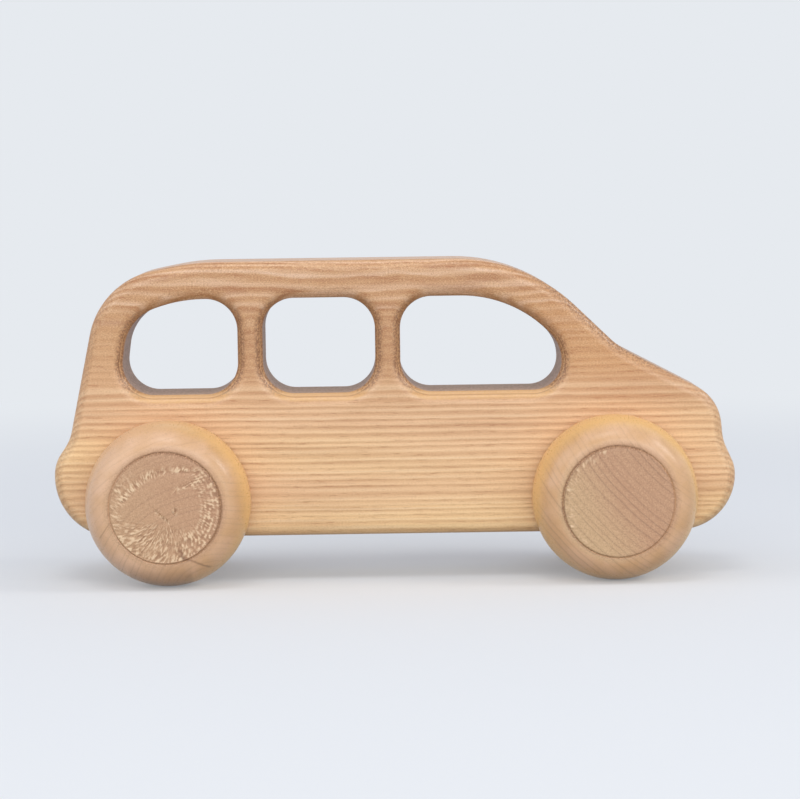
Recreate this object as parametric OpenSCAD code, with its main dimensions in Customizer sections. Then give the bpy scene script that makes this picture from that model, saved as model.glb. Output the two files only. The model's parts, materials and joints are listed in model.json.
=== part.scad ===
// Wooden toy bus: a thick board with three windows, on two dowel axles and four turned wheels.
// All sizes are in millimetres. X points to the front of the bus, Y to its left side and Z up.
// The origin is on the floor, under the middle of the bus.

/* [Body] */
// Length over both bumpers
body_l = 166; // [156:1:220]
// Height of the roof above the underside
body_h = 67; // [62:0.5:80]
// Thickness of the board
board_t = 22; // [16:0.5:45]
// Radius of the rounding along the outline and the windows
edge_r = 3; // [1:0.25:4]
// Radius of the two lower corners
lower_corner_r = 15; // [8:0.5:20]
// Radius at the top of each bumper
bumper_top_r = 9.5; // [6:0.5:14]
// Radius of the notch above each bumper
notch_r = 11; // [6:0.5:14]

/* [Rear end] */
// Height of the rear bumper above the underside
rear_bumper_h = 18.4; // [17:0.2:20]
// Height of the notch above the rear bumper, from the underside
rear_notch_h = 24; // [22:0.2:27]
// Distance that the rear notch lies in from the bumper
rear_notch_in = 3.9; // [2:0.1:6]
// Distance that the rear shoulder lies in from the bumper
shoulder_in = 12; // [9:0.5:16]
// Distance of the rear shoulder below the roof
shoulder_drop = 4.5; // [3:0.5:7]
// Radius of the rear shoulder
shoulder_r = 19.8; // [14:0.2:24]
// Distance of the roof's rear end in from the bumper
roof_rear_in = 35; // [31:0.5:41]
// Radius at the roof's rear end
roof_rear_r = 55; // [30:1:70]

/* [Front end] */
// Height of the front bumper above the underside
front_bumper_h = 15.4; // [15:0.2:17]
// Height of the notch above the front bumper, from the underside
front_notch_h = 21.8; // [20:0.2:24]
// Distance that the front notch lies in from the bumper
front_notch_in = 2.9; // [1.5:0.1:5]
// Height of the nose above the underside
nose_h = 32.2; // [30:0.2:35]
// Distance that the nose lies in from the bumper
nose_in = 3.9; // [2:0.1:6]
// Radius of the nose
nose_r = 11.3; // [7:0.1:14]
// Height of the foot of the windscreen above the underside
screen_foot_h = 45; // [42:0.5:48]
// Distance of the foot of the windscreen in from the bumper
screen_foot_in = 28.2; // [25:0.2:32]
// Radius at the foot of the windscreen
screen_foot_r = 22; // [12:0.5:30]
// Distance of the roof's front end in from the bumper
roof_front_in = 51; // [48:0.5:56]
// Radius at the roof's front end
roof_front_r = 42; // [30:0.5:46]

/* [Windows] */
// Width of the wood above the windows and along the windscreen
frame_w = 9; // [8:0.25:11]
// Height of the sills above the underside
sill_h = 34.8; // [30:0.2:38]
// Radius of the windows' corners
window_r = 7.7; // [4:0.1:9]
// Distance of the rear pillar in from the rear bumper
rear_pillar_in = 45.1; // [42:0.1:50]
// Width of each of the two pillars
pillar_w = 6.1; // [5:0.1:9]
// Width of the middle window
mid_window_w = 27.3; // [22:0.1:32]
// Distance of the rear window in from the rear bumper, along its sill
rear_window_in = 16; // [14:0.2:19]
// Distance that the back edge of the rear window leans forward
rear_lean = 2.5; // [1:0.1:4]
// Distance of the upper end of the rear window's sloping top in from the rear bumper
rear_slope_in = 31; // [29:0.5:33]
// Drop of the rear window's sloping top
rear_slope_drop = 4.5; // [3:0.1:6]
// Radius at the upper end of the rear window's sloping top
rear_slope_r = 35; // [20:1:45]
// Radius at the lower end of the rear window's sloping top
rear_corner_r = 11.5; // [8:0.5:14]
// Distance of the front window in from the front bumper
front_window_in = 42.2; // [39:0.2:48]
// Radius of the front window's corner at the foot of the windscreen
front_corner_r = 10.5; // [6:0.5:12]
// Radius of the front window's corner at the top of the windscreen
screen_corner_r = 30; // [20:1:34]

/* [Wheels] */
// Diameter of a wheel
wheel_d = 40; // [36:0.5:46]
// Thickness of a wheel
wheel_t = 14; // [12:0.25:18]
// Distance of the widest ring from the wheel's back
rim_back = 3; // [2:0.25:5]
// Radius of the rounding round the wheel's back
back_r = 1.5; // [0.5:0.25:2]
// Diameter of the flat disc on the wheel's face
disc_d = 26.2; // [20:0.2:30]
// Height of the disc above the domed ring
disc_step = 0.3; // [0.2:0.05:0.8]
// Width of the groove round the disc
groove_w = 0.5; // [0.3:0.05:1]
// Depth of the groove round the disc
groove_depth = 0.5; // [0.3:0.05:1]
// Gap between a wheel and the body
wheel_gap = 1; // [0.4:0.1:1.5]

/* [Axles] */
// Diameter of an axle
axle_d = 8; // [5:0.5:10]
// Height of the axles above the underside
axle_up = 9; // [7.5:0.1:11]
// Distance of the rear axle in from the rear bumper
rear_axle_in = 27.9; // [24:0.1:34]
// Distance of the front axle in from the front bumper
front_axle_in = 29.9; // [26:0.1:36]
// Depth of the blind hole in the back of a wheel
socket_depth = 8; // [5:0.25:10]
// Chamfer on the ends of an axle
axle_chamfer = 0.6; // [0.2:0.1:1]
// Radial clearance of an axle in the body
run_clear = 0.1; // [0.05:0.01:0.1]
// Radial gap for glue between an axle and a wheel
glue_gap = 0.05; // [0.02:0.01:0.1]
// Gap between an axle's end and the bottom of a wheel's hole
end_gap = 0.3; // [0.1:0.1:0.8]

/* [Hidden] */

// Fineness of the curves: sag of an outline's chords, steps across a rounded edge, steps along a wheel's dome
chord_sag = 0.03;
round_steps = 5;
dome_steps = 14;
back_steps = 4;
$fn = 96;

// Colours of the two woods
body_color = "#d9ac80";
wheel_color = "#d6ab78";
axle_color = "#dcc096";

// Sides of the bus, along Y
left = 1;
right = -1;

// Levels and ends of the body
wheel_r = wheel_d / 2;
disc_r = disc_d / 2;
underside = wheel_r - axle_up;
roof = underside + body_h;
sill = underside + sill_h;
window_top = roof - frame_w;
rear_x = -body_l / 2;
front_x = body_l / 2;
rear_window_x = rear_x + rear_window_in;
rear_pillar_x = rear_x + rear_pillar_in;
mid_window_x = rear_pillar_x + pillar_w;
front_pillar_x = mid_window_x + mid_window_w;
front_window_rear_x = front_pillar_x + pillar_w;
front_window_x = front_x - front_window_in;
rear_axle_x = rear_x + rear_axle_in;
front_axle_x = front_x - front_axle_in;

// Sizes across the bus
wheel_back_y = board_t / 2 + wheel_gap;
axle_l = 2 * (wheel_back_y + socket_depth - end_gap);
socket_r = axle_d / 2 + glue_gap;
bore_r = axle_d / 2 + run_clear;
bore_l = 2 * board_t;

// Lines are [point, direction]. level and upright are straight across and straight up.
function unit(v) = v / norm(v);
function flat(corner) = [corner.x, corner.y];
function level(z) = [[0, z], [1, 0]];
function upright(x) = [[x, 0], [0, 1]];
function meet(a, b) = a[0] + a[1] * cross(b[0] - a[0], b[1]) / cross(a[1], b[1]);

// Corner lists are [x, z, radius], anticlockwise as seen from the right side of the bus.
function wrap(i, list) = (i + len(list)) % len(list);
function edge(c, i) = flat(c[wrap(i + 1, c)]) - flat(c[wrap(i, c)]);
function inner_line(c, i, d) =
    let (u = unit(edge(c, i)))
    [flat(c[i]) + d * [-u.y, u.x], u];
function corner(a, b, r) =
    let (p = meet(a, b))
    [p.x, p.y, r];
function heading(c, i) = atan2(edge(c, i).y, edge(c, i).x);

// Angle turned at corner i: positive where the outline bulges and negative where it is hollow
function turn(c, i) =
    let (a = edge(c, i - 1), b = edge(c, i))
    atan2(cross(a, b), a * b);

// Length that corner i's arc takes from each of its edges
function take(c, i) = c[wrap(i, c)][2] * tan(abs(turn(c, i)) / 2);

// Radius at corner i, held back where the arcs at both ends of an edge would overlap
function room(c, i) = norm(edge(c, i)) / (take(c, i) + take(c, i + 1));
function fitted_r(c, i) = c[i][2] * min(1, room(c, i - 1), room(c, i));

// Points along corner i's arc as [x, z, angle of the outward normal]
function arc(c, i) =
    let (
        t = turn(c, i),
        r = fitted_r(c, i),
        u = unit(edge(c, i - 1)),
        start = flat(c[i]) - u * r * tan(abs(t) / 2),
        centre = start - sign(t) * r * [u.y, -u.x],
        step = 2 * acos(1 - chord_sag / r),
        steps = ceil(abs(t) / step),
        first = heading(c, i - 1) - 90
    )
    [
        for (k = [0 : steps])
            let (a = first + t * k / steps)
            concat(centre + sign(t) * r * [cos(a), sin(a)], [a])
    ];
function outline(c) = [for (i = [0 : len(c) - 1]) each arc(c, i)];
function middle(c) = [for (k = [0, 1]) [for (p = c) p[k]] * [for (p = c) 1] / len(c)];

// Outline of the body
body_corners = [
    [rear_x, underside, lower_corner_r],
    [front_x, underside, lower_corner_r],
    [front_x, underside + front_bumper_h, bumper_top_r],
    [front_x - front_notch_in, underside + front_notch_h, notch_r],
    [front_x - nose_in, underside + nose_h, nose_r],
    [front_x - screen_foot_in, underside + screen_foot_h, screen_foot_r],
    [front_x - roof_front_in, roof, roof_front_r],
    [rear_x + roof_rear_in, roof, roof_rear_r],
    [rear_x + shoulder_in, roof - shoulder_drop, shoulder_r],
    [rear_x + rear_notch_in, underside + rear_notch_h, notch_r],
    [rear_x, underside + rear_bumper_h, bumper_top_r],
];

// The windscreen's edge of the body, moved in by the width of the wood along it
screen_line = inner_line(body_corners, 5, frame_w);

// Outlines of the windows
rear_window = [
    [rear_window_x, sill, window_r],
    [rear_pillar_x, sill, window_r],
    [rear_pillar_x, window_top, window_r],
    [rear_x + rear_slope_in, window_top, rear_slope_r],
    [rear_window_x + rear_lean, window_top - rear_slope_drop, rear_corner_r],
];
mid_window = [
    [mid_window_x, sill, window_r],
    [front_pillar_x, sill, window_r],
    [front_pillar_x, window_top, window_r],
    [mid_window_x, window_top, window_r],
];
front_window = [
    [front_window_rear_x, sill, window_r],
    [front_window_x, sill, window_r],
    corner(screen_line, upright(front_window_x), front_corner_r),
    corner(screen_line, level(window_top), screen_corner_r),
    [front_window_rear_x, window_top, window_r],
];

// A rounded edge as [depth below the face, distance in from the wall], from the face to the wall
edge_profile = [
    for (k = [0 : round_steps])
        let (a = 90 * k / round_steps)
        edge_r * [1 - cos(a), 1 - sin(a)]
];

// The body's rounding stops at the face. A window's carries straight on past it, to cut cleanly.
past_face = edge_profile[0] + 2 * (edge_profile[0] - edge_profile[1]);
window_profile = concat([past_face], [for (k = [1 : round_steps]) edge_profile[k]]);

// Rings across the board as [y, distance in], from the right face to the left face
function rings(profile, side) =
    let (last = len(profile) - 1)
    concat(
        [for (k = [0 : last]) [profile[k][0] - board_t / 2, side * profile[k][1]]],
        [for (k = [last : -1 : 0]) [board_t / 2 - profile[k][0], side * profile[k][1]]]
    );

// Solid through the rings of an outline, closed at both ends by a fan of triangles from its middle
module board(corners, ring_list) {
    path = outline(corners);
    centre = middle(corners);
    n = len(path);
    last = len(ring_list) - 1;
    ring_points = [
        for (ring = ring_list)
            for (p = path)
                [p.x - ring[1] * cos(p[2]), ring[0], p.y - ring[1] * sin(p[2])]
    ];
    end_points = [for (k = [0, last]) [centre.x, ring_list[k][0], centre.y]];
    first_end = len(ring_points);
    walls = [
        for (k = [0 : last - 1])
            for (i = [0 : n - 1])
                let (j = (i + 1) % n, a = k * n, b = a + n)
                each [[a + i, a + j, b + j], [a + i, b + j, b + i]]
    ];
    ends = [
        for (i = [0 : n - 1])
            let (j = (i + 1) % n, b = last * n)
            each [[first_end, j, i], [first_end + 1, b + i, b + j]]
    ];
    polyhedron(concat(ring_points, end_points), concat(walls, ends));
}

module axle_bore(x) {
    translate([x, 0, wheel_r])
        rotate([90, 0, 0])
            cylinder(h = bore_l, r = bore_r, center = true);
}

// Half of an axle's outline, as [radius, length]
axle_profile = [
    [0, -axle_l / 2],
    [axle_d / 2 - axle_chamfer, -axle_l / 2],
    [axle_d / 2, -axle_l / 2 + axle_chamfer],
    [axle_d / 2, axle_l / 2 - axle_chamfer],
    [axle_d / 2 - axle_chamfer, axle_l / 2],
    [0, axle_l / 2],
];

module axle(x) {
    translate([x, 0, wheel_r])
        rotate([90, 0, 0])
            rotate_extrude()
                polygon(axle_profile);
}

// Half of a wheel's outline, as [radius, distance from its back]
dome_inner_r = disc_r + groove_w;
dome_top = wheel_t - disc_step;
wheel_profile = concat(
    [[0, socket_depth], [socket_r, socket_depth], [socket_r, 0]],
    [
        for (k = [0 : back_steps])
            let (a = 90 * k / back_steps)
            [wheel_r - back_r * (1 - sin(a)), back_r * (1 - cos(a))]
    ],
    [
        for (k = [0 : dome_steps])
            let (a = 90 * k / dome_steps)
            [dome_inner_r + (wheel_r - dome_inner_r) * cos(a), rim_back + (dome_top - rim_back) * sin(a)]
    ],
    [[disc_r + groove_w / 2, dome_top - groove_depth], [disc_r, wheel_t], [0, wheel_t]]
);

module wheel(x, side) {
    translate([x, side * wheel_back_y, wheel_r])
        rotate([-90 * side, 0, 0])
            rotate_extrude()
                polygon(wheel_profile);
}

module body() {
    color(body_color)
        difference() {
            board(body_corners, rings(edge_profile, 1));
            board(rear_window, rings(window_profile, -1));
            board(mid_window, rings(window_profile, -1));
            board(front_window, rings(window_profile, -1));
            axle_bore(front_axle_x);
            axle_bore(rear_axle_x);
        }
}

module front_axle() {
    color(axle_color) axle(front_axle_x);
}

module rear_axle() {
    color(axle_color) axle(rear_axle_x);
}

module front_left_wheel() {
    color(wheel_color) wheel(front_axle_x, left);
}

module front_right_wheel() {
    color(wheel_color) wheel(front_axle_x, right);
}

module rear_left_wheel() {
    color(wheel_color) wheel(rear_axle_x, left);
}

module rear_right_wheel() {
    color(wheel_color) wheel(rear_axle_x, right);
}

body();
front_axle();
rear_axle();
front_left_wheel();
front_right_wheel();
rear_left_wheel();
rear_right_wheel();
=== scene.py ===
# %% [markdown]
# Wooden toy bus, a lesson in cells.
# The bus is a thick board of ash, sawn to shape and rounded over, on two dowels with four turned wheels.
# The imported model already has every piece at its real size, so this script only makes them look like wood.
# We load the model first, and read the sizes of its pieces from it.

# %% Loading the frame
import json
import math
from types import SimpleNamespace

import bmesh
import bpy
from mathutils import Matrix, Vector, noise


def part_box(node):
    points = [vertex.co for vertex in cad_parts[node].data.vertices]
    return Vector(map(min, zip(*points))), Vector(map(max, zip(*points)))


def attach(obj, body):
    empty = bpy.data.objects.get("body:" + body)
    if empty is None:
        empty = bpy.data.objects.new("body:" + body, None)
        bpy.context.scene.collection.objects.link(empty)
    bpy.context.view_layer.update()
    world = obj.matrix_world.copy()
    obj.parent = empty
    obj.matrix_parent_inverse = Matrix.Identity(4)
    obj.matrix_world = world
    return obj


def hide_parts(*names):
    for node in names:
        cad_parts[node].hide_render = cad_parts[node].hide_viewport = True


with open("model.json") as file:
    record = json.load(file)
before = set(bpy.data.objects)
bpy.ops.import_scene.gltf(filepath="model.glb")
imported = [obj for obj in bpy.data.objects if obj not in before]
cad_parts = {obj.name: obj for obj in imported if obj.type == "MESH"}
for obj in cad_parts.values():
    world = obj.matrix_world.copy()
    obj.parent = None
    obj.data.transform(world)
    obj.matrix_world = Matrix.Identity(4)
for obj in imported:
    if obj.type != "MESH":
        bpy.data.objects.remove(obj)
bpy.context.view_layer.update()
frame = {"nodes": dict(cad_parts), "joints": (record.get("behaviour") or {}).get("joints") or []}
MM = 0.001

# %% [markdown]
# The camera looks at the right side of the bus from a little above its roof, as in the photograph.
# It could be aimed with a constraint, but three plain angles are easier to check.
# The long lens keeps the wheels round, and the small roll tilts the bus as the photograph does.

# %% Camera
SENSOR_MM = 36
LENS_MM = 117
NEAREST = 0.01
CAMERA_AT = (-0.0047, -0.6398, 0.0996)
CAMERA_TILT = 84.95
CAMERA_ROLL = 0.77
CAMERA_TURN = -0.62

scene = bpy.context.scene
scene.view_settings.view_transform = "Standard"
lens = bpy.data.cameras.new("camera")
lens.sensor_width = SENSOR_MM
lens.lens = LENS_MM
lens.clip_start = NEAREST
camera = bpy.data.objects.new("camera", lens)
camera.location = CAMERA_AT
camera.rotation_euler = [math.radians(angle) for angle in (CAMERA_TILT, CAMERA_ROLL, CAMERA_TURN)]
scene.collection.objects.link(camera)
scene.camera = camera
print("camera", [round(v, 3) for v in camera.location])

# %% [markdown]
# Every finish below is a small sum over the wood's own coordinates.
# Nodes could be placed one by one, but then the sum is hard to read.
# So one class wraps a socket: adding two wires adds a Math node, and node() makes any other kind.


# %% Shader sums
def srgb(red, green, blue):
    """A colour as it is seen on a screen, from 0 to 255, as the linear colour that a shader takes."""
    parts = []
    for value in (red, green, blue):
        share = value / 255
        parts.append(share / 12.92 if share <= 0.04045 else ((share + 0.055) / 1.055) ** 2.4)
    return (*parts, 1)


def named(sockets, name):
    """The socket of that number or name, passing over the ones that the node doesn't use."""
    if isinstance(name, int):
        return sockets[name]
    return next(socket for socket in sockets if socket.enabled and socket.name == name)


class Wire:
    """A socket that can stand in a sum."""

    def __init__(self, tree, socket):
        self.tree = tree
        self.socket = socket

    def node(self, kind, settings=None, inputs=None, output=0):
        """A new node of any kind: its settings first, then the values or wires of its sockets."""
        made = self.tree.nodes.new(kind)
        for name, value in (settings or {}).items():
            if name == "stops":
                ramp = made.color_ramp
                while len(ramp.elements) < len(value):
                    ramp.elements.new(1)
                for element, (place, grey) in zip(ramp.elements, value):
                    element.position = place
                    element.color = (grey, grey, grey, 1)
            else:
                setattr(made, name, value)
        for name, value in (inputs or {}).items():
            socket = named(made.inputs, name)
            if isinstance(value, Wire):
                self.tree.links.new(value.socket, socket)
            else:
                socket.default_value = value
        return Wire(self.tree, named(made.outputs, output))

    def math(self, operation, *values):
        return self.node("ShaderNodeMath", {"operation": operation}, dict(enumerate(values)))

    def __add__(self, other):
        return self.math("ADD", self, other)

    __radd__ = __add__

    def __sub__(self, other):
        return self.math("SUBTRACT", self, other)

    def __rsub__(self, other):
        return self.math("SUBTRACT", other, self)

    def __mul__(self, other):
        return self.math("MULTIPLY", self, other)

    __rmul__ = __mul__

    def __truediv__(self, other):
        return self.math("DIVIDE", self, other)

    def split(self):
        """The three coordinates of this place."""
        apart = self.node("ShaderNodeSeparateXYZ", {}, {0: self})
        return [Wire(self.tree, socket) for socket in apart.socket.node.outputs]

    def stretched(self, scale):
        """This place, with each axis scaled."""
        return self.node("ShaderNodeVectorMath", {"operation": "MULTIPLY"}, {0: self, 1: scale})

    def noise(self, scale, detail=2, rough=0.5):
        """Cloudy noise about zero, from -0.5 to 0.5, with scale in turns per millimetre."""
        place = self.stretched(scale)
        inputs = {"Vector": place, "Scale": 1, "Detail": detail, "Roughness": rough}
        return self.node("ShaderNodeTexNoise", {}, inputs) - 0.5

    def waver(self, scale, detail):
        """Noise from 0 to 1 along this one value."""
        inputs = {"W": self, "Scale": scale, "Detail": detail}
        return self.node("ShaderNodeTexNoise", {"noise_dimensions": "1D"}, inputs)

    def smooth(self, low, high):
        """A soft step from 0 at low to 1 at high."""
        inputs = {"Value": self, "From Min": low, "From Max": high}
        return self.node("ShaderNodeMapRange", {"interpolation_type": "SMOOTHSTEP"}, inputs)

    def ramp(self, stops):
        """The grey of a colour ramp at this value, from stops of (value, grey)."""
        return self.node("ShaderNodeValToRGB", {"stops": stops}, {"Fac": self})

    def mix(self, first, second):
        """The first colour where this wire is 0, and the second where it is 1."""
        inputs = {"Factor": self, "A": first, "B": second}
        return self.node("ShaderNodeMix", {"data_type": "RGBA"}, inputs, "Result")

    def kept(self, name):
        """The value that each vertex of the piece keeps under that name."""
        return self.node("ShaderNodeAttribute", {"attribute_name": name}, {}, "Fac")

    def bump(self, strength, distance):
        """A normal that treats this wire as a height, with distance in metres."""
        inputs = {"Strength": strength, "Distance": distance, "Height": self}
        return self.node("ShaderNodeBump", {}, inputs)


def begin(name):
    """A new material, its shader, and the place on the piece in millimetres."""
    material = bpy.data.materials.new(name)
    material.use_nodes = True
    tree = material.node_tree
    shader = tree.nodes["Principled BSDF"]
    source = tree.nodes.new("ShaderNodeTexCoord")
    place = Wire(tree, source.outputs["Object"]).stretched((1 / MM, 1 / MM, 1 / MM))
    return material, shader, place


def feed(shader, wires):
    """Links each wire to the shader's socket of that name."""
    for name, wire in wires.items():
        wire.tree.links.new(wire.socket, shader.inputs[name])


print("shader sums ready")

# %% [markdown]
# The bus stands on a pale table that runs into a pale wall with no line between them.
# A real sweep of paper could be modelled, but a flat floor that fades into the backdrop is simpler.
# Only the camera and the reflections see that fade: the light itself comes from the lamps and a dim sky.
# Near the bus a quarter of that fade stays, a glow of painted light that makes the shadow under the bus
# paler.

# %% Floor
BACKDROP = srgb(230, 234, 239)
PAPER = srgb(236, 237, 234)
PAPER_FOR_LIGHT = srgb(165, 167, 170)
PAPER_ROUGHNESS = 0.9
PAPER_GLOSS = 0.2
FADE_FROM = 180
FADE_TO = 520
LEAST_FADE = 0.26
FLOOR_HALF = 8


def seen(place):
    """1 for the rays of the camera and of reflections, and 0 for the rays that light the scene."""
    path = place.node("ShaderNodeLightPath", output="Is Camera Ray")
    glossy = Wire(place.tree, path.socket.node.outputs["Is Glossy Ray"])
    clear = Wire(place.tree, path.socket.node.outputs["Is Transmission Ray"])
    return path.math("MAXIMUM", path, glossy.math("MAXIMUM", glossy, clear))


floor_paper, floor_shader, floor_place = begin("pale_paper")
feed(floor_shader, {"Base Color": seen(floor_place).mix(PAPER_FOR_LIGHT, PAPER)})
floor_shader.inputs["Roughness"].default_value = PAPER_ROUGHNESS
floor_shader.inputs["Specular IOR Level"].default_value = PAPER_GLOSS
far_off = floor_place.node("ShaderNodeVectorMath", {"operation": "LENGTH"}, {0: floor_place}, "Value")
glow = floor_place.node("ShaderNodeEmission", {}, {"Color": BACKDROP, "Strength": 1})
lit = Wire(floor_place.tree, floor_shader.outputs["BSDF"])
# Painted light: the least fade keeps some backdrop glow next to the bus, which lightens its shadow.
fade = (LEAST_FADE + (1 - LEAST_FADE) * far_off.smooth(FADE_FROM, FADE_TO)) * seen(floor_place)
blended = fade.node("ShaderNodeMixShader", {}, {0: fade, 1: lit, 2: glow})
floor_out = floor_place.tree.nodes["Material Output"]
floor_place.tree.links.new(blended.socket, floor_out.inputs["Surface"])

floor_mesh = bpy.data.meshes.new("floor")
bm = bmesh.new()
bmesh.ops.create_grid(bm, x_segments=1, y_segments=1, size=FLOOR_HALF)
bm.to_mesh(floor_mesh)
bm.free()
floor = bpy.data.objects.new("floor", floor_mesh)
floor.data.materials.append(floor_paper)
scene.collection.objects.link(floor)
print("floor", [round(v, 3) for v in PAPER[:3]])

# %% [markdown]
# The sky has two faces. The camera sees the pale backdrop, and the bus is lit by a dimmer, bluer one.
# One bright sky could do both, but it would wash out the shadow under the bus.

# %% Sky
SKY = srgb(226, 233, 255)
SKY_STRENGTH = 0.58

sky = bpy.data.worlds.new("sky")
sky.use_nodes = True
scene.world = sky
dim = sky.node_tree.nodes["Background"]
dim.inputs["Color"].default_value = SKY
dim.inputs["Strength"].default_value = SKY_STRENGTH
sky_wire = Wire(sky.node_tree, dim.outputs["Background"])
wall = sky_wire.node("ShaderNodeBackground", {}, {"Color": BACKDROP, "Strength": 1})
both = sky_wire.node("ShaderNodeMixShader", {}, {0: seen(sky_wire), 1: sky_wire, 2: wall})
sky.node_tree.links.new(both.socket, sky.node_tree.nodes["World Output"].inputs["Surface"])
print("sky", SKY_STRENGTH, "with a backdrop of", [round(v, 3) for v in BACKDROP[:3]])

# %% [markdown]
# The light is soft: a wide panel in front, a square one on the left, small ones overhead and on the right.
# A bare bulb would give a hard shadow, but the photograph's shadow is a blurred pool under the bus.
# The panels show as soft pale patches on the domed rings of the wheels.

# %% Lamps
AIM = Vector((0, 0, 0.04))


def soft_lamp(name, place, width, height, watts):
    """A panel of light that points at the bus, with its place and sides in metres."""
    light = bpy.data.lights.new(name, "AREA")
    light.shape = "RECTANGLE"
    light.size = width
    light.size_y = height
    light.energy = watts
    lamp = bpy.data.objects.new(name, light)
    lamp.location = place
    lamp.rotation_euler = (AIM - Vector(place)).to_track_quat("-Z", "Y").to_euler()
    lamp.visible_camera = False
    scene.collection.objects.link(lamp)
    print(name, watts, "W at", place)


soft_lamp("top_lamp", (-0.1, -0.4, 1.2), width=0.4, height=0.4, watts=1.8)
soft_lamp("front_lamp", (0.2, -1.2, 0.5), width=2.2, height=0.7, watts=10.5)
soft_lamp("left_lamp", (-1.0, -0.3, 0.6), width=0.9, height=0.9, watts=3)
soft_lamp("right_lamp", (1.0, -0.2, 0.75), width=0.4, height=0.4, watts=3)

# %% [markdown]
# The outline of the board is a row of corners, each with its own radius.
# The arcs could be worked out point by point, but spin does it: one vertex, swept round the arc's centre.
# A loop drawn further in, with each radius changed by the same amount, stays parallel all the way round.

# %% Outlines from corners
ARC_STEP = math.radians(3)
LEAST_STEPS = 4
MOST_ROOM = 0.99


def turns(corners):
    """For each corner: where its arc starts, its centre, its angle and its radius, in millimetres."""
    points = [Vector((x, z)) for x, z, _ in corners]
    radii = [radius for _, _, radius in corners]
    count = len(points)
    edges = [points[(i + 1) % count] - points[i] for i in range(count)]
    angles = [-edges[i - 1].angle_signed(edges[i]) for i in range(count)]
    takes = [radii[i] * math.tan(abs(angles[i]) / 2) for i in range(count)]
    rooms = [edges[i].length / (takes[i] + takes[(i + 1) % count]) for i in range(count)]
    arcs = []
    for i in range(count):
        share = min(1, MOST_ROOM * rooms[i - 1], MOST_ROOM * rooms[i])
        radius = radii[i] * share
        along = edges[i - 1].normalized()
        start = points[i] - along * takes[i] * share
        side = math.copysign(1, angles[i])
        centre = start + side * radius * Vector((-along.y, along.x))
        arcs.append((start, centre, angles[i], radius))
    return arcs


def sweep(bm, start, centre, axis, angle, steps):
    """The vertices of an arc: one vertex, spun about the centre."""
    first = bm.verts.new(start)
    before = len(bm.verts)
    bmesh.ops.spin(bm, geom=[first], cent=centre, axis=axis, angle=angle, steps=steps, use_merge=False)
    bm.verts.ensure_lookup_table()
    return [first, *bm.verts[before:]]


def draw_loop(bm, arcs, depth, inset):
    """The closed loop of edges that runs inset from the outline, at that depth along Y."""
    ring = []
    for start, centre, angle, radius in arcs:
        side = math.copysign(1, angle)
        moved = centre + (start - centre) * (radius - side * inset) / radius
        steps = max(LEAST_STEPS, math.ceil(abs(angle) / ARC_STEP))
        first = (moved.x * MM, depth * MM, moved.y * MM)
        middle = (centre.x * MM, depth * MM, centre.y * MM)
        ring += sweep(bm, first, middle, (0, -1, 0), angle, steps)
    pairs = list(zip(ring, ring[1:] + ring[:1]))
    for pair in pairs:
        if bm.edges.get(pair) is None:
            bm.edges.new(pair)
    return [bm.edges.get(pair) for pair in pairs]


OUTLINE = [
    (-83, 11, 15),
    (83, 11, 15),
    (83, 26.4, 9.5),
    (80.1, 32.8, 11),
    (79.1, 43.2, 11.3),
    (54.8, 56, 22),
    (32, 78, 42),
    (-48, 78, 55),
    (-71, 73.5, 19.8),
    (-79.1, 35, 11),
    (-83, 29.4, 9.5),
]
REAR_WINDOW = [(-67, 45.8, 7.7), (-37.9, 45.8, 7.7), (-37.9, 69, 7.7), (-52, 69, 35), (-64.5, 64.5, 11.5)]
MIDDLE_WINDOW = [(-31.8, 45.8, 7.7), (-4.5, 45.8, 7.7), (-4.5, 69, 7.7), (-31.8, 69, 7.7)]
FRONT_WINDOW = [(1.6, 45.8, 7.7), (40.8, 45.8, 7.7), (40.8, 57, 10.5), (28.37, 69, 30), (1.6, 69, 7.7)]
print("outline", len(OUTLINE), "corners; arcs", [round(arc[3], 1) for arc in turns(OUTLINE)])

# %% [markdown]
# The body's edges are rounded over with a cutter. A bevel could do it, but the windows are close together.
# So the rounding is written as a profile, which says how deep and how far in each step of it lies.
# The cutter was not set to its full depth, so it left a fine corner, which catches a line of light.
# Round the windows it also left a shallow step, where two passes of the cutter met.

# %% Edge profiles
OUTER_RUN = 2.62
OUTER_TILT = 68
WINDOW_RUN = 3
WINDOW_TILT = 60
WINDOW_STEP = 0.12
ROUND_STEPS = 9
STEP_AT = 6
CORNER = 0.06
STRIP = 5 * CORNER


def edge_profile(run, tilt, step):
    """Points of an edge as (depth below the face, distance in).

    They follow an arc up to a tilt in degrees, with a shallow step in it, and end in a fine corner.
    """
    radius = run / math.sin(math.radians(tilt))
    angles = [math.radians(tilt * k / ROUND_STEPS) for k in range(ROUND_STEPS + 1)]
    arc = [(radius * (1 - math.cos(a)), run - radius * math.sin(a)) for a in angles]
    points = arc[:STEP_AT] + [(depth + step, inset) for depth, inset in arc[STEP_AT:-1]]
    deepest = arc[-1][0] + step
    return points + [(deepest - CORNER, CORNER), (deepest + CORNER, 0), (deepest + STRIP, 0)]


outer_profile = edge_profile(OUTER_RUN, OUTER_TILT, 0)
window_profile = edge_profile(WINDOW_RUN, WINDOW_TILT, WINDOW_STEP)
STEP_DEPTH = window_profile[STEP_AT][0]
WALL_DEPTH = window_profile[-2][0]
print("edge profiles", len(outer_profile), "steps, window walls from", round(WALL_DEPTH, 2), "mm")

# %% [markdown]
# Each outline, the board's and the windows', becomes a band of wall from one face to the other.
# The faces could be listed by hand, but bridge_loops joins one loop to the next.
# The board's thickness comes from the model.
# Each vertex keeps whether it belongs to a window, because the finish differs there.


# %% Walls of the board
def mm(metres):
    """A length of the model in millimetres, without the stray last digits of its mesh."""
    return round(metres / MM, 3)


HALF_BOARD = mm(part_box("body")[1].y)


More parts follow.
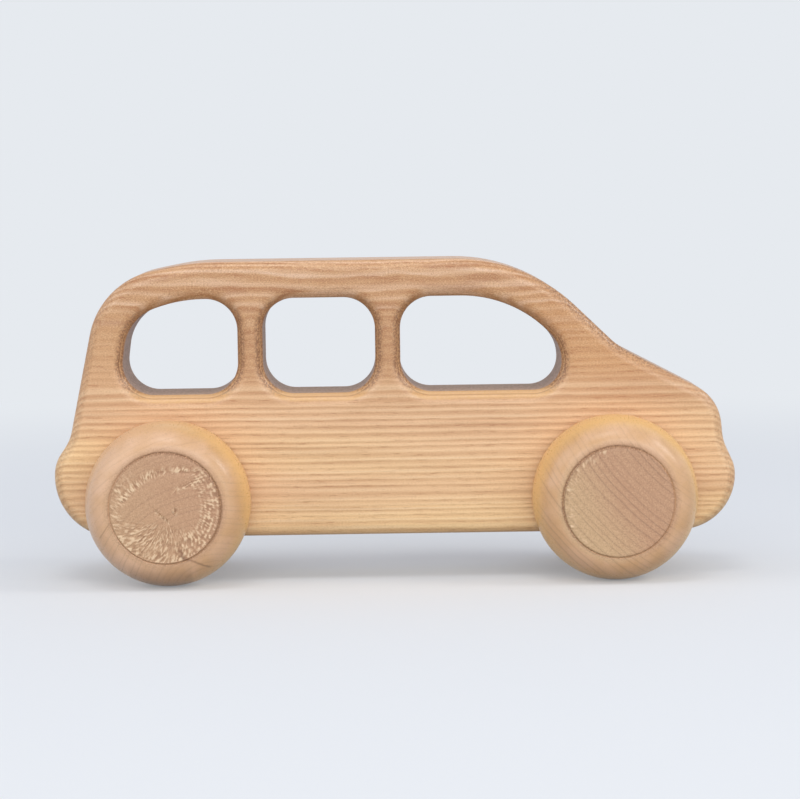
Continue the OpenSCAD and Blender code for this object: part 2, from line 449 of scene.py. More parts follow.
def walls(board, corners, profile, way):
    """Adds to the board a band of wall round an outline, from the right face to the left one.

    The way is 1 round the board, where the profile runs inwards, and -1 round a window.
    """
    arcs = turns(corners)
    right = [(depth - HALF_BOARD, way * inset) for depth, inset in profile]
    left = [(-depth, inset) for depth, inset in reversed(right)]
    bm = bmesh.new()
    loops = [draw_loop(bm, arcs, depth, inset) for depth, inset in right + left]
    for first, second in zip(loops, loops[1:]):
        bmesh.ops.bridge_loops(bm, edges=first + second)
    band = bpy.data.meshes.new("band")
    bm.to_mesh(band)
    bm.free()
    before = len(board.verts)
    board.from_mesh(band)
    bpy.data.meshes.remove(band)
    window = board.verts.layers.float["window"]
    board.verts.ensure_lookup_table()
    for vert in board.verts[before:]:
        vert[window] = way < 0


print("board", 2 * HALF_BOARD, "mm thick")

# %% [markdown]
# Every piece is finished alike: its doubles are merged, its faces turned outwards, and its body named.
# The steps could be repeated for each piece, but one function is shorter and forgets nothing.
# Wood is darker and rougher where a cut crosses its fibres, so each vertex keeps how squarely that happens.

# %% Finishing a piece
MERGE = 1e-7


def finished(bm, name, body, node, material):
    """A new object from a closed bmesh, which rides on a body and stands for a CAD node."""
    bmesh.ops.remove_doubles(bm, verts=bm.verts, dist=MERGE)
    bmesh.ops.recalc_face_normals(bm, faces=bm.faces)
    mesh = bpy.data.meshes.new(name)
    bm.to_mesh(mesh)
    bm.free()
    mesh.shade_smooth()
    mesh.materials.append(material)
    piece = bpy.data.objects.new(name, mesh)
    scene.collection.objects.link(piece)
    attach(piece, body)
    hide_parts(node)
    print(name, len(mesh.polygons), "faces")
    return piece


def mark_end_grain(piece, axis):
    """Keeps on each vertex how squarely the surface cuts across the fibres, which run along that axis."""
    mesh = piece.data
    layer = mesh.attributes.new("end_grain", "FLOAT", "POINT")
    layer.data.foreach_set("value", [abs(vert.normal[axis]) for vert in mesh.vertices])


print("finishing steps ready")

# %% [markdown]
# Two holes cross the board for the axles, where the model's hinges are.
# Drilling could be a boolean, but a circle on each face, bridged to the other, leaves a cleaner mesh.
# The two flat faces are filled last, between the edges that are still open.

# %% Body
AXLE_X = {joint["child"]: mm(joint["pos_m"][0]) for joint in frame["joints"]}
AXLE_UP = mm(frame["joints"][0]["pos_m"][2])
BORE_R = 4.1
BORE_STEPS = 48


def bore(bm, x):
    """Adds the wall of an axle's hole through the board."""
    upright = Matrix.Rotation(math.pi / 2, 4, "X")
    loops = []
    for depth in (-HALF_BOARD, HALF_BOARD):
        place = Matrix.Translation((x * MM, depth * MM, AXLE_UP * MM)) @ upright
        ring = bmesh.ops.create_circle(bm, segments=BORE_STEPS, radius=BORE_R * MM, matrix=place)["verts"]
        loops.append(list(dict.fromkeys(edge for vert in ring for edge in vert.link_edges)))
    bmesh.ops.bridge_loops(bm, edges=loops[0] + loops[1])


def make_body(material):
    """The board with its windows and axle holes."""
    bm = bmesh.new()
    bm.verts.layers.float.new("window")
    walls(bm, OUTLINE, outer_profile, 1)
    for corners in (REAR_WINDOW, MIDDLE_WINDOW, FRONT_WINDOW):
        walls(bm, corners, window_profile, -1)
    for x in AXLE_X.values():
        bore(bm, x)
    for side in (-1, 1):
        rims = [edge for edge in bm.edges if edge.is_boundary and side * edge.verts[0].co.y > 0]
        bmesh.ops.triangle_fill(bm, use_beauty=True, edges=rims, normal=(0, side, 0))
        for edge in rims:
            edge.smooth = False
    piece = finished(bm, "bus_body", "body", "body", material)
    mark_end_grain(piece, 0)


print("axle holes at", AXLE_X, "mm,", AXLE_UP, "mm up")

# %% [markdown]
# A tree adds one ring of wood a year, and the rings are tubes round its middle.
# Drawn lines could imitate them on one face, but the distance from the middle is right on every side.
# No two years are alike, so the rings vary in width, and each year has a random number of its own.


# %% Rings of a tree
def between(wire, low, high, soft):
    """1 where the wire lies between low and high, with soft ends."""
    return wire.smooth(low - soft, low + soft) * wire.smooth(high + soft, high - soft)


def distance(first, second):
    """How far a point with these two coordinates is from zero."""
    return first.math("SQRT", first * first + second * second)


def growth(age, scale, unevenness):
    """Where a place lies in its year's ring, from 0 to 1, and that year's random number."""
    years = age + age.waver(scale, detail=1) * unevenness
    year = years.math("FLOOR", years)
    luck = year.node("ShaderNodeTexWhiteNoise", {"noise_dimensions": "1D"}, {"W": year}, "Value")
    return years.math("FRACT", years), luck


print("rings ready")

# %% [markdown]
# The board isn't the same all over: the roof has wavy lines, and the posts between the windows are darker.
# The windscreen's slope is golden, and beside the windows the lines are faint.
# Painting by hand could place these, but soft masks by height and length are easy to move.

# %% Parts of the board
ROOF_UP = (42, 70)
POSTS_UP = (49, 65)
POSTS_ALONG = (-65, 43)
SLOPE_UP = (46, 54)
SLOPE_ALONG = (24, 40)
FAINT_UP = (49, 66)
HOOD_UP = (38, 48)
HOOD_ALONG = (36, 60)
SOFT = 4


def board_parts(place):
    """Masks for the parts of the board, and the board's own coordinates."""
    x, y, height = place.split()
    slope = height.smooth(*SLOPE_UP) * x.smooth(*SLOPE_ALONG)
    return SimpleNamespace(
        height=height,
        across=y,
        roof=height.smooth(*ROOF_UP),
        posts=between(height, *POSTS_UP, SOFT) * between(x, *POSTS_ALONG, SOFT),
        slope=slope,
        faint=between(height, *FAINT_UP, SOFT) * (1 - 0.3 * slope),
        hood=height.smooth(*HOOD_UP) * x.smooth(*HOOD_ALONG),
    )


print("roof lines from", ROOF_UP[0], "mm up, windscreen from", SLOPE_ALONG[0], "mm along")

# %% [markdown]
# The board is ash: each year's ring starts with a band of dark open pores and ends in pale dense wood.
# On a flat face the rings show as long, nearly straight lines, so two ramps turn a ring into its bands.
# Noise bends the lines, more so near the roof, and breaks them up, because a ruled line looks printed.

# %% Ash rings
PITH_Y = 60
PITH_Z = 105
RING = 1.16
HEART_FROM = 101
HEART_TO = 82
EARLY_BAND = [(0, 0.6), (0.1, 1), (0.25, 0.8), (0.5, 0.2), (0.7, 0), (0.88, 0.1), (1, 0.6)]
LATE_BAND = [(0, 0.1), (0.3, 0), (0.55, 0.5), (0.72, 1), (0.86, 0.8), (1, 0.1)]


def ash_rings(place, parts):
    """The dark early lines, the pale late ones, the pores and the brown heartwood, each from 0 to 1."""
    far = distance(parts.across - PITH_Y, parts.height - PITH_Z)
    sway = place.noise((0.009, 0.02, 0.02)) * (1.0 + 2.2 * parts.roof)
    ripple = place.noise((0.04, 0.15, 0.15)) * (0.45 + 1.0 * parts.roof)
    shake = place.noise((0.2, 1.2, 1.2)) * (0.26 + 0.06 * parts.roof)
    phase, luck = growth((far + sway + ripple + shake) / RING, scale=0.35, unevenness=1.2)
    band = phase.ramp(EARLY_BAND)
    broken = place.noise((0.05, 1.0, 1.0), detail=3).smooth(-0.25, 0.2)
    chopped = place.noise((0.12, 0.8, 0.8), detail=3).smooth(-0.12, 0.14)
    whole = (0.55 + 0.45 * broken) * (1 - parts.roof * 0.5 * (1 - chopped))
    open_pores = place.noise((0.3, 3.6, 3.6)).smooth(0.05, 0.2)
    return SimpleNamespace(
        early=band * (0.5 + 0.5 * luck) * whole * (1 - 0.75 * parts.faint),
        late=phase.ramp(LATE_BAND) * (1 - luck * 0.7) * (1.2 - 0.7 * broken) * (1 - 0.7 * parts.faint),
        pores=open_pores * (0.25 + 0.75 * band),
        heart=far.smooth(HEART_FROM, HEART_TO),
    )


print("ash rings", RING, "mm wide round a middle", PITH_Z, "mm up")

# %% [markdown]
# The face of the board is built up in thin coats: sapwood, heartwood, patches, lines and pores.
# One ramp could hold all the colours, but then no coat could be changed alone.
# The last coats are fine specks, dark and pale, which keep the wood from looking smooth.

# %% Ash colours
SAP = srgb(247, 201, 153)
LOW_SAP = srgb(255, 215, 155)
HEARTWOOD = srgb(214, 165, 116)
BROWN = srgb(186, 132, 88)
GOLDEN = srgb(226, 168, 106)
DENSE = srgb(255, 228, 186)
DENSE_ROOF = srgb(250, 214, 182)
EARLY_LINE = srgb(174, 114, 70)
PORE = srgb(160, 90, 42)
FIBRE = srgb(176, 120, 74)
DARK_SPECK = srgb(152, 100, 60)
PALE_SPECK = srgb(252, 222, 172)
LOW_UP = 30
LOW_FADE = 0.012


def ash_grain(place, parts):
    """The noises that several coats share."""
    return SimpleNamespace(
        fibre=place.noise((0.025, 2.6, 2.6), detail=3, rough=0.6),
        mottle=place.noise((0.09, 0.35, 0.35), detail=3) * parts.roof,
        grit=place.noise((2.2, 2.2, 2.2)),
    )


def ash_face(place, parts, rings, grain):
    """The colour of the board's flat face."""
    wander = place.noise((0.008, 0.06, 0.06), detail=1)
    low = (wander + (LOW_UP - parts.height) * LOW_FADE).smooth(-0.2, 0.2)
    streak = place.noise((0.02, 0.55, 0.55))
    specks = place.noise((2.4, 5, 5))
    patchy = (streak + grain.mottle).smooth(-0.05, 0.25) * (0.28 + 0.6 * parts.roof)
    dense = parts.roof.mix(DENSE, DENSE_ROOF)
    colour = rings.heart.mix(low.mix(SAP, LOW_SAP), HEARTWOOD)
    colour = (patchy + parts.posts * 0.42 + parts.hood * 0.36).mix(colour, BROWN)
    colour = (parts.slope * 0.4).mix(colour, GOLDEN)
    colour = (rings.late * (0.42 + 0.2 * parts.roof)).mix(colour, dense)
    colour = (rings.early * (0.56 + 0.6 * parts.roof)).mix(colour, EARLY_LINE)
    colour = (rings.pores * 0.42).mix(colour, PORE)
    colour = (grain.fibre.smooth(-0.2, 0.2) * 0.16).mix(colour, FIBRE)
    colour = (specks.smooth(0, 0.16) * (0.16 + 0.24 * parts.roof)).mix(colour, DARK_SPECK)
    return (specks.smooth(-0.02, -0.18) * (0.16 + 0.2 * parts.roof)).mix(colour, PALE_SPECK)


print("ash colours from", [round(v, 2) for v in EARLY_LINE[:3]], "to", [round(v, 2) for v in DENSE[:3]])

# %% [markdown]
# The deep part of the window roundings is darkened as painted shade, more so towards their tops.
# The rounded edges cut across the fibres, so they are darker and gritty, most of all on the windscreen.
# In the windows the cutter's two passes left a shallow step, which gets a painted highlight and a painted
# shade line, and the ledges below are golden.
# The walls inside were left as the saw cut them, greyer and rougher, and their darker colour is partly
# painted shade inside the openings.
# An image could be painted for all this, but the depth below the face places each of them by a sum.

# %% Ash edges
END_DARK = srgb(128, 86, 56)
END_PALE = srgb(206, 158, 112)
LEDGE = srgb(224, 174, 106)
PAINTED_STEP_HIGHLIGHT = srgb(236, 196, 146)
PAINTED_STEP_SHADE = srgb(130, 82, 48)
PAINTED_WINDOW_SHADE = srgb(134, 86, 48)
SAWN_SHADED_DARK = srgb(146, 118, 100)
SAWN_SHADED_PALE = srgb(190, 160, 140)
LEDGE_UP = (47.5, 45)
PAINTED_SHADE_UP = (47, 60)
PAINTED_SHADE_FROM_WALL = (2.0, 0.7)
STEP_LIGHT_UP = (66, 58)
HIGHLIGHT_BELOW_STEP = (0.08, 0.22)
STEP_SHADE_BELOW_STEP = (-0.2, -0.02)
LINE_SOFT = 0.06
SAWN_FROM_WALL = (0.05, -0.3)


def ash_edges(place, parts, grain, face):
    """The colour of the whole board, with the edges laid over the face, and a mask of the sawn walls."""
    height = parts.height
    end = place.kept("end_grain")
    window = place.kept("window")
    depth = HALF_BOARD - parts.across.math("ABSOLUTE", parts.across)
    from_wall = WALL_DEPTH - depth
    outer = end.smooth(0, 0.5) * depth.smooth(0.01, 0.1) * (0.3 + 0.45 * parts.slope)
    inner = end.smooth(0.05, 0.6) * depth.smooth(0.01, 0.3) * 0.75
    below_step = depth - STEP_DEPTH
    uneven_step_light = height.smooth(*STEP_LIGHT_UP) * (0.7 + grain.mottle * 2) * window
    # Painted highlight and painted shade along the step: a pale line on its deeper side and a dark line on
    # its shallower side, fading out near the window tops.
    step_highlight = between(below_step, *HIGHLIGHT_BELOW_STEP, LINE_SOFT) * uneven_step_light
    step_shade = between(below_step, *STEP_SHADE_BELOW_STEP, LINE_SOFT) * uneven_step_light
    # Painted shade: the deep part of the window roundings, near the wall, darkens as it rises from the
    # sills, with grit in it.
    painted_shade = from_wall.smooth(*PAINTED_SHADE_FROM_WALL) * window * height.smooth(*PAINTED_SHADE_UP)
    ledge = window * height.smooth(*LEDGE_UP) * depth.smooth(0.02, 0.3)
    sawn = from_wall.smooth(*SAWN_FROM_WALL) * window
    saw_marks = place.noise((1.6, 0.5, 1.6), detail=3).smooth(-0.25, 0.25)
    ends = grain.grit.smooth(-0.1, 0.14).mix(END_DARK, END_PALE)
    colour = (outer + window * (inner - outer)).mix(face, ends)
    colour = (ledge * (0.42 + 1.0 * grain.grit)).mix(colour, LEDGE)
    colour = (step_highlight * 0.45).mix(colour, PAINTED_STEP_HIGHLIGHT)
    colour = (step_shade * 0.45).mix(colour, PAINTED_STEP_SHADE)
    colour = (painted_shade * (0.12 + 1.4 * grain.grit)).mix(colour, PAINTED_WINDOW_SHADE)
    # Partly painted shade: the sawn walls take darker colours, besides their saw marks.
    return (sawn * 0.7).mix(colour, saw_marks.mix(SAWN_SHADED_DARK, SAWN_SHADED_PALE)), sawn


print("window step", round(STEP_DEPTH, 2), "mm deep")

# %% [markdown]
# The coats come together in one material. Oil makes the face satin, and pores and saw marks stay dull.
# The pores are real hollows, so they also go into the bump, which is far too shallow to model.

# %% Body wood
ASH_BUMP = 0.5
ASH_RELIEF = 0.00006


def ash_wood():
    """Oiled ash for the body."""
    material, shader, place = begin("ash_wood")
    parts = board_parts(place)
    rings = ash_rings(place, parts)
    grain = ash_grain(place, parts)
    face = ash_face(place, parts, rings, grain)
    colour, sawn = ash_edges(place, parts, grain, face)
    roughness = 0.32 + rings.pores * 0.2 + grain.fibre * 0.1 + sawn * 0.22
    relief = 1 - rings.pores * 0.7 - rings.early * 0.3
    normal = relief.bump(ASH_BUMP, ASH_RELIEF)
    feed(shader, {"Base Color": colour, "Roughness": roughness, "Normal": normal})
    return material


make_body(ash_wood())

# %% [markdown]
# A wheel is turned on a lathe, so it is a half outline spun round its axle.
# A cylinder could be bevelled, but the dome is a quarter of an ellipse, and spin follows it exactly.
# A tool's point left a fine groove where the dome meets the flat disc in the middle.
# The wheel stands on the floor, so its radius is the height of its axle.

# %% Half outline of a wheel
WHEEL_R = AXLE_UP
WHEEL_BACK = mm(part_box("front_left_wheel")[0].y)
WHEEL_FACE = mm(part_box("front_left_wheel")[1].y)
WHEEL_T = WHEEL_FACE - WHEEL_BACK
RIM_BACK = 3
BACK_R = 1.5
BACK_STEPS = 6
DOME_STEPS = 24
DISC_R = 13.1
DISC_STEP = 0.3
DISC_EDGE = 0.3
DISC_RINGS = 48
GROOVE_W = 0.6
GROOVE_DEPTH = 0.15
SOCKET_R = 4.05
SOCKET_DEPTH = 8
SOCKET_EDGE = 0.3


def half_outline(bm):
    """The vertices of a wheel's half outline, radius along X and distance from the back along Y."""
    dome_in = DISC_R + GROOVE_W
    dome_top = WHEEL_T - DISC_STEP
    rise = dome_top - RIM_BACK
    run = WHEEL_R - dome_in
    flat = DISC_R - DISC_EDGE
    back = WHEEL_R - BACK_R
    quarter = math.pi / 2
    socket = [
        (0, SOCKET_DEPTH),
        (SOCKET_R, SOCKET_DEPTH),
        (SOCKET_R, SOCKET_EDGE),
        (SOCKET_R + SOCKET_EDGE, 0),
    ]
    groove = [
        (DISC_R + GROOVE_W * 0.75, dome_top - GROOVE_DEPTH * 0.35),
        (DISC_R + GROOVE_W / 2, dome_top - GROOVE_DEPTH),
    ]
    lip = [(DISC_R + 0.05, WHEEL_T - 0.2), (DISC_R - 0.1, WHEEL_T - 0.04)]
    disc = [(flat * (1 - k / DISC_RINGS), WHEEL_T) for k in range(DISC_RINGS + 1)]
    points = [bm.verts.new((radius, depth, 0)) for radius, depth in socket]
    points += sweep(bm, (back, 0, 0), (back, BACK_R, 0), (0, 0, 1), quarter, BACK_STEPS)
    dome = sweep(bm, (run, 0, 0), (0, 0, 0), (0, 0, 1), quarter, DOME_STEPS)
    bmesh.ops.scale(bm, vec=(1, rise / run, 1), verts=dome)
    bmesh.ops.translate(bm, vec=(dome_in, RIM_BACK, 0), verts=dome)
    points += dome
    points += [bm.verts.new((radius, depth, 0)) for radius, depth in groove + lip + disc]
    return points


print("wheel", 2 * WHEEL_R, "mm across and", WHEEL_T, "mm wide, with a disc of", 2 * DISC_R, "mm")

# %% [markdown]
# A blunt tool tears end grain instead of cutting it, so parts of a wheel's flat disc are rough.
# A bump could fake it, but from the side the disc would still be flat, so the vertices are pushed in.
# Each wheel has its own rule for where it is torn.
# The strands run outwards from the hub in a slight swirl, and on one side they lie in rows.

# %% Torn end grain
PIT = 0.22
SWIRL = 0.045
STRANDS = 38
STRAND_EDGE = 0.28
ROW = 0.95
ROW_DEPTH = 0.22
ROW_EDGES = (0.4, 0.9)
FLAT_WITHIN = 0.01
HUB = 0.1
LOWER_EDGE = -3.4
LOWER_SLANT = 0.14
BAND_CENTRE = (3, -6)
BAND_INSIDE = (14.2, 14.8)
BAND_OUTSIDE = (16.8, 15.8)
RIGHT_EDGE = (7.5, 9.5)
LEFT_EDGE = (9.5, 11.5)
CLEAN_EDGE = (10.5, 12.6)
PATCH = 0.35
CLEAN_PATCH = 0.6


def soft_step(value, low, high):
    """0 up to low and 1 from high on, with an even slope between."""
    return min(1, max(0, (value - low) / (high - low)))


def tear(piece, x, side, look):
    """Pushes the rough parts of a disc in, and keeps on each vertex how far its strand stands out."""
    mesh = piece.data
    strands = [0.0] * len(mesh.vertices)
    for vert in mesh.vertices:
        along = vert.co.x / MM - x
        up = vert.co.z / MM - AXLE_UP
        reach = math.hypot(along, up)
        if side * vert.co.y / MM < WHEEL_FACE - FLAT_WITHIN or reach > DISC_R:
            continue
        angle = math.atan2(up, along)
        pattern = angle + math.radians(look["turn"])
        amount = look["torn"](reach * math.cos(pattern), reach * math.sin(pattern), reach)
        swirl = angle + SWIRL * reach
        spot = Vector((STRANDS * math.cos(swirl), STRANDS * math.sin(swirl), reach + x))
        rows = ROW_DEPTH * math.sin(reach * 2 * math.pi / ROW) * soft_step(math.cos(pattern), *ROW_EDGES)
        strand = soft_step(noise.noise(spot) + rows, -STRAND_EDGE, STRAND_EDGE)
        vert.co.y -= side * PIT * amount * (1 - strand) * MM
        strands[vert.index] = amount * (2 * strand - 1)
    layer = mesh.attributes.new("strand", "FLOAT", "POINT")
    layer.data.foreach_set("value", strands)
    print(piece.name, "torn on", sum(value != 0 for value in strands), "vertices")


def rough_disc(along, up, reach):
    """A disc that is torn in its lower half, along its right edge and in a band across the top."""
    across = along / (reach + HUB)
    lower = soft_step(LOWER_EDGE - LOWER_SLANT * along - up, 0, 2.2) * (0.6 + 0.4 * reach / DISC_R)
    arc = math.hypot(along - BAND_CENTRE[0], up - BAND_CENTRE[1])
    band = soft_step(arc, *BAND_INSIDE) * soft_step(arc, *BAND_OUTSIDE) * soft_step(up, -1, 2)
    right = soft_step(reach, *RIGHT_EDGE) * soft_step(across, 0.5, 0.8) * 0.8
    left = soft_step(reach, *LEFT_EDGE) * soft_step(-across, 0.6, 0.9) * 0.7
    spur = soft_step(along, 1, 3.5) * soft_step(1.1 - abs(up - 3.1 - 0.45 * along), 0, 0.7)
    slanted = 0.67 * (along + 2.1) + 0.75 * (up + 0.6)
    scratch = soft_step(0.5 - abs(slanted), 0, 0.3) * soft_step(2 - abs(along + 0.7), 0, 0.5)
    dent = soft_step(0.8 - math.hypot(along - 2.4, 0.6 * (up + 0.6)), 0, 0.4)
    patches = 0.75 + 0.7 * noise.noise(Vector((along * PATCH, up * PATCH, 3)))
    return max(max(lower, band, right, left, spur) * min(1, max(0.3, patches)), scratch, dent)


def clean_disc(along, up, reach):
    """A disc that is torn only along its left edge."""
    left = (0.35 * up - along) / (reach + HUB)
    edge = soft_step(reach, *CLEAN_EDGE) * soft_step(left, 0.2, 0.8)
    patches = 0.6 + 0.8 * noise.noise(Vector((along * CLEAN_PATCH, up * CLEAN_PATCH, 7)))
    return edge * min(1, max(0.2, patches)) * 0.8


print("torn strands up to", PIT, "mm deep")

# %% [markdown]
# The half outline is spun a quarter of the way round, and that wedge is then copied three times.
# One full spin would do, but copies of a wedge are quicker, and their doubles are merged at the end.
# A negative scale turns a wheel for the right side inside out, so its normals are worked out again.

# %% Wheels
WHEEL_STEPS = 360
SHARP = math.radians(28)


def make_wheel(name, body, x, side, material, look):
    """A turned wheel on one side of the bus, with its disc torn as its look says."""
    bm = bmesh.new()
    points = half_outline(bm)
    for pair in zip(points, points[1:]):
        if bm.edges.get(pair) is None:
            bm.edges.new(pair)
    quarter = math.pi / 2
    turning = {"cent": (0, 0, 0), "axis": (0, 1, 0)}
    wire = bm.verts[:] + bm.edges[:]
    bmesh.ops.spin(bm, geom=wire, angle=quarter, steps=WHEEL_STEPS // 4, **turning)
    wedge = bm.verts[:] + bm.edges[:] + bm.faces[:]
    bmesh.ops.spin(bm, geom=wedge, angle=3 * quarter, steps=3, use_duplicate=True, **turning)
    bmesh.ops.scale(bm, vec=(MM, side * MM, MM), verts=bm.verts)
    bmesh.ops.translate(bm, vec=(x * MM, side * WHEEL_BACK * MM, AXLE_UP * MM), verts=bm.verts)
    piece = finished(bm, name + "_turned", body, name, material)
    piece.data.set_sharp_from_angle(angle=SHARP)
    mark_end_grain(piece, 1)
    tear(piece, x, side, look)


print("wheels of", WHEEL_STEPS, "steps")

# %% [markdown]
# The wheels are a pale, even wood, cut so that its fibres run along the axle.
# So a wheel's face is end grain, with thin lines where one year's wood meets the next.
# Its rim is long grain, and plainer.
# Fine marks such as a crack are drawn as strokes: the distance from a line is a short sum.

# %% Lines and marks of a wheel
WHEEL_RING = 1.6
YEAR_LINE = [(0, 1), (0.08, 0.5), (0.22, 0.15), (0.7, 0), (0.92, 0.25), (1, 1)]


def wheel_parts(place, x, side):
    """Coordinates from the hub, and masks for the parts of a wheel."""
    hub = place.node("ShaderNodeMapping", {}, {"Vector": place, "Location": (-x, 0, -AXLE_UP)})
    right, y, rise = hub.split()
    out = y * side
    return SimpleNamespace(
        hub=hub,
        right=right,
        rise=rise,
        reach=distance(right, rise),
        disc=out.smooth(WHEEL_FACE - 0.6, WHEEL_FACE - 0.1),
        front=out.smooth(WHEEL_BACK + RIM_BACK, WHEEL_BACK + RIM_BACK + 3),
        cut=hub.kept("end_grain").smooth(0.2, 0.7),
        sway=hub.noise((0.1, 0.01, 0.1)) * 0.9,
        flecks=hub.noise((3.2, 0.2, 3.2)),
    )


def year_lines(parts, pith):
    """1 where one year's wood meets the next, round the tree's middle."""
    far = distance(parts.right - pith[0], parts.rise - pith[1])
    phase, luck = growth((far + parts.sway) / WHEEL_RING, scale=0.5, unevenness=1.5)
    return phase.ramp(YEAR_LINE) * (0.2 + 0.8 * luck)


def stroke(spot, start, stop, width):
    """1 along a stroke on a wheel's face, from start to stop, in millimetres from the hub. A narrow stroke
    is a fine line; a broad one is a band of painted shade.
    """
    run = Vector(stop) - Vector(start)
    way = run.normalized()
    x, _, z = spot.split()
    wobble = spot.noise((0.6, 0.1, 0.6)) * 0.9
    along = (x - start[0]) * way.x + (z - start[1]) * way.y
    beside = (z - start[1]) * way.x - (x - start[0]) * way.y + wobble
    near = beside.math("ABSOLUTE", beside).smooth(width, 0)
    return near * along.smooth(-0.6, 0.4) * along.smooth(run.length + 0.6, run.length - 0.4)


print("year lines", WHEEL_RING, "mm apart")

# %% [markdown]
# A wheel's ring, disc and rim have each a colour of their own, and the groove is darkened as painted shade.
# One wood for all four wheels would be shorter, but then they would look stamped out.
# So each wheel has a look: the tree's middle, its golden and brown sides, its lines, the shaded side of its
# groove, and its marks and bands of painted shade.

# %% Wheel wood
RING_PINK = srgb(232, 189, 152)
RING_GOLD = srgb(212, 165, 115)
DISC_PALE = srgb(208, 172, 128)
DISC_BROWN = srgb(197, 151, 115)
RIM_PALE = srgb(226, 182, 140)
RIM_GOLD = srgb(238, 190, 120)
LINE = srgb(120, 78, 52)
GROOVE_SHADE = srgb(126, 86, 58)
DARK_FLECK = srgb(150, 106, 72)
PALE_FLECK = srgb(244, 210, 168)
STRAND_PALE = srgb(244, 212, 170)
PIT_SHADE = srgb(150, 108, 76)
MARK_AND_SHADE = srgb(112, 68, 40)
GROOVE_SHADE_BESIDE = (-0.15, 0.7)
GROOVE_SHADE_SOFT = 0.25
WHEEL_BUMP = 0.45
WHEEL_RELIEF = 0.00006


def wheel_shades(parts, brown, look):
    """The plain colours of a wheel's ring, disc and rim."""
    cloud = parts.hub.noise((0.14, 0.03, 0.14), detail=3).smooth(-0.2, 0.2)
    golden = parts.right.smooth(*look["gold"])
    ring = (cloud * 0.6 + golden * 0.4).mix(RING_PINK, RING_GOLD)
    face = parts.disc.mix(ring, brown.mix(DISC_PALE, DISC_BROWN))
    return parts.cut.mix(golden.mix(RIM_PALE, RIM_GOLD), face)


def turned_wood(name, x, side, look):
    """Wood for one wheel, with the colours, strokes and painted shade of its own look."""
    material, shader, place = begin(name)
    parts = wheel_parts(place, x, side)
    flecks = parts.flecks
    disc = parts.disc
    strand = place.kept("strand")
    line = year_lines(parts, look["pith"])
    brown = (parts.right * 0.85 + parts.rise * 0.5 + parts.sway * 4 + flecks * 5).smooth(*look["dark"])
    low_left = (parts.right + parts.rise).smooth(6, -18)
    strong = 0.2 + (disc * brown + low_left * 0.6) * look["lines"]
    shaded_side = (parts.right * look["groove_shade_side"][0] + parts.rise * look["groove_shade_side"][1]).smooth(-11, 11)
    groove = between(parts.reach - DISC_R, *GROOVE_SHADE_BESIDE, GROOVE_SHADE_SOFT)
    colour = wheel_shades(parts, brown, look)
    colour = (line * strong * (0.4 + 0.6 * parts.cut)).mix(colour, LINE)
    # Painted shade: the groove is darkened, most on the side that the look points to.
    colour = (groove * (0.36 + 0.6 * shaded_side) * (0.6 + flecks * 2)).mix(colour, GROOVE_SHADE)
    colour = (flecks.smooth(0, 0.2) * (0.16 + 0.16 * disc)).mix(colour, DARK_FLECK)
    colour = (flecks.smooth(-0.02, -0.2) * (0.1 + 0.14 * disc)).mix(colour, PALE_FLECK)
    colour = (strand.smooth(-0.1, 0.7) * 0.85).mix(colour, STRAND_PALE)
    # Painted shade: the pits between the torn strands are darkened, besides being pushed in.
    colour = (strand.smooth(-0.1, -0.8) * 0.5).mix(colour, PIT_SHADE)
    tool_marks = parts.reach.waver(scale=2.5, detail=2)
    relief = 1 - flecks.smooth(0, 0.25) * 0.5 - line * 0.4 + tool_marks * 0.25
    # Each stroke darkens and dents the wood: a fine mark, or a band of painted shade.
    for start, stop, width, strength in look["marks_and_shade"]:
        mark_and_shade = stroke(parts.hub, start, stop, width) * parts.front * strength
        colour = mark_and_shade.mix(colour, MARK_AND_SHADE)
        relief = relief - mark_and_shade
    roughness = 0.3 + flecks * 0.2 + disc * 0.24
    normal = relief.bump(WHEEL_BUMP, WHEEL_RELIEF)
    feed(shader, {"Base Color": colour, "Roughness": roughness, "Normal": normal})
    return material


print("wheel wood ready")

# %% [markdown]
# The right-hand wheels follow the photograph, and the left-hand ones are like them, turned another way.
# Random numbers could choose the looks, but given values can follow the photograph.
# Places are in millimetres from the hub. The pith is the tree's middle, from which the year lines are drawn.
# The wood turns golden from the first value of gold to the second, along the bus, and brown likewise.
# Lines says how strong the year lines are, and groove_shade_side points to the side of the groove with the
# most painted shade.
# A mark has a start, an end, a half width and a strength. The torn rule is turned by an angle in degrees.

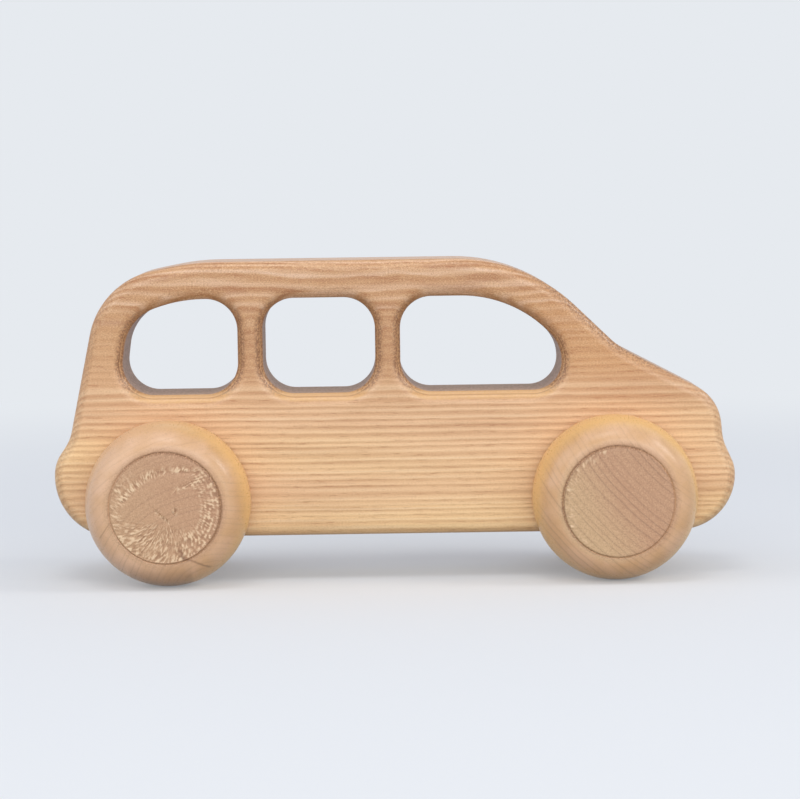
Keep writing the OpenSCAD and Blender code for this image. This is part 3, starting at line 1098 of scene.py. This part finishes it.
# %% Four wheels
EVEN = (-60, -40)
REAR_MARKS_AND_SHADE = [
    ((3.3, -11.4), (10.4, -14.3), 0.45, 0.5),
    ((3.2, -9.9), (4.6, -12.4), 0.9, 0.5),
    ((-13.3, -3.4), (-15.6, -7.1), 0.3, 0.35),
    # The last one is no fine mark but a broad band of painted shade across the bottom of the wheel.
    ((-9, -18), (6, -18), 6, 0.3),
]
LOOKS = {
    "front_right_wheel": {
        "pith": (50, 48),
        "gold": EVEN,
        "dark": (-11, 4),
        "lines": 0.5,
        "groove_shade_side": (-0.8, 0.6),
        "marks_and_shade": [],
        "turn": 0,
        "torn": clean_disc,
    },
    "rear_right_wheel": {
        "pith": (11, -23),
        "gold": (-16, 18),
        "dark": (-40, 15),
        "lines": 0.12,
        "groove_shade_side": (0.7, 0.7),
        "marks_and_shade": REAR_MARKS_AND_SHADE,
        "turn": 0,
        "torn": rough_disc,
    },
    "front_left_wheel": {
        "pith": (10, 70),
        "gold": EVEN,
        "dark": (8, -3),
        "lines": 0.3,
        "groove_shade_side": (0.6, -0.8),
        "marks_and_shade": [],
        "turn": 130,
        "torn": rough_disc,
    },
    "rear_left_wheel": {
        "pith": (-60, -40),
        "gold": EVEN,
        "dark": (-9, -3),
        "lines": 0.4,
        "groove_shade_side": (0, 1),
        "marks_and_shade": [],
        "turn": 200,
        "torn": clean_disc,
    },
}
for name, look in LOOKS.items():
    end, hand, _ = name.split("_")
    body = end + "_wheelset"
    side = 1 if hand == "left" else -1
    wood = turned_wood(f"{end}_{hand}_wood", AXLE_X[body], side, look)
    make_wheel(name, body, AXLE_X[body], side, wood, look)

# %% [markdown]
# The axles are plain dowels, hidden in the body and the wheels apart from a millimetre at each side.
# They could be modelled again, but their shape is already right in the model, so they only get a finish.

# %% Axle wood
DOWEL_PALE = srgb(226, 192, 146)
DOWEL_DARK = srgb(204, 166, 118)
DOWEL_BUMP = 0.3
DOWEL_RELIEF = 0.00005


def dowel_wood():
    """Bare, planed wood with its fibres along the axle."""
    material, shader, place = begin("dowel_wood")
    fibre = place.noise((3, 0.08, 3), detail=3)
    colour = fibre.smooth(-0.25, 0.25).mix(DOWEL_PALE, DOWEL_DARK)
    normal = fibre.bump(DOWEL_BUMP, DOWEL_RELIEF)
    feed(shader, {"Base Color": colour, "Roughness": 0.55 + fibre * 0.2, "Normal": normal})
    return material


dowel = dowel_wood()
for name in ("front_axle", "rear_axle"):
    axle = frame["nodes"][name]
    axle.data.materials.clear()
    axle.data.materials.append(dowel)
print("axles finished")
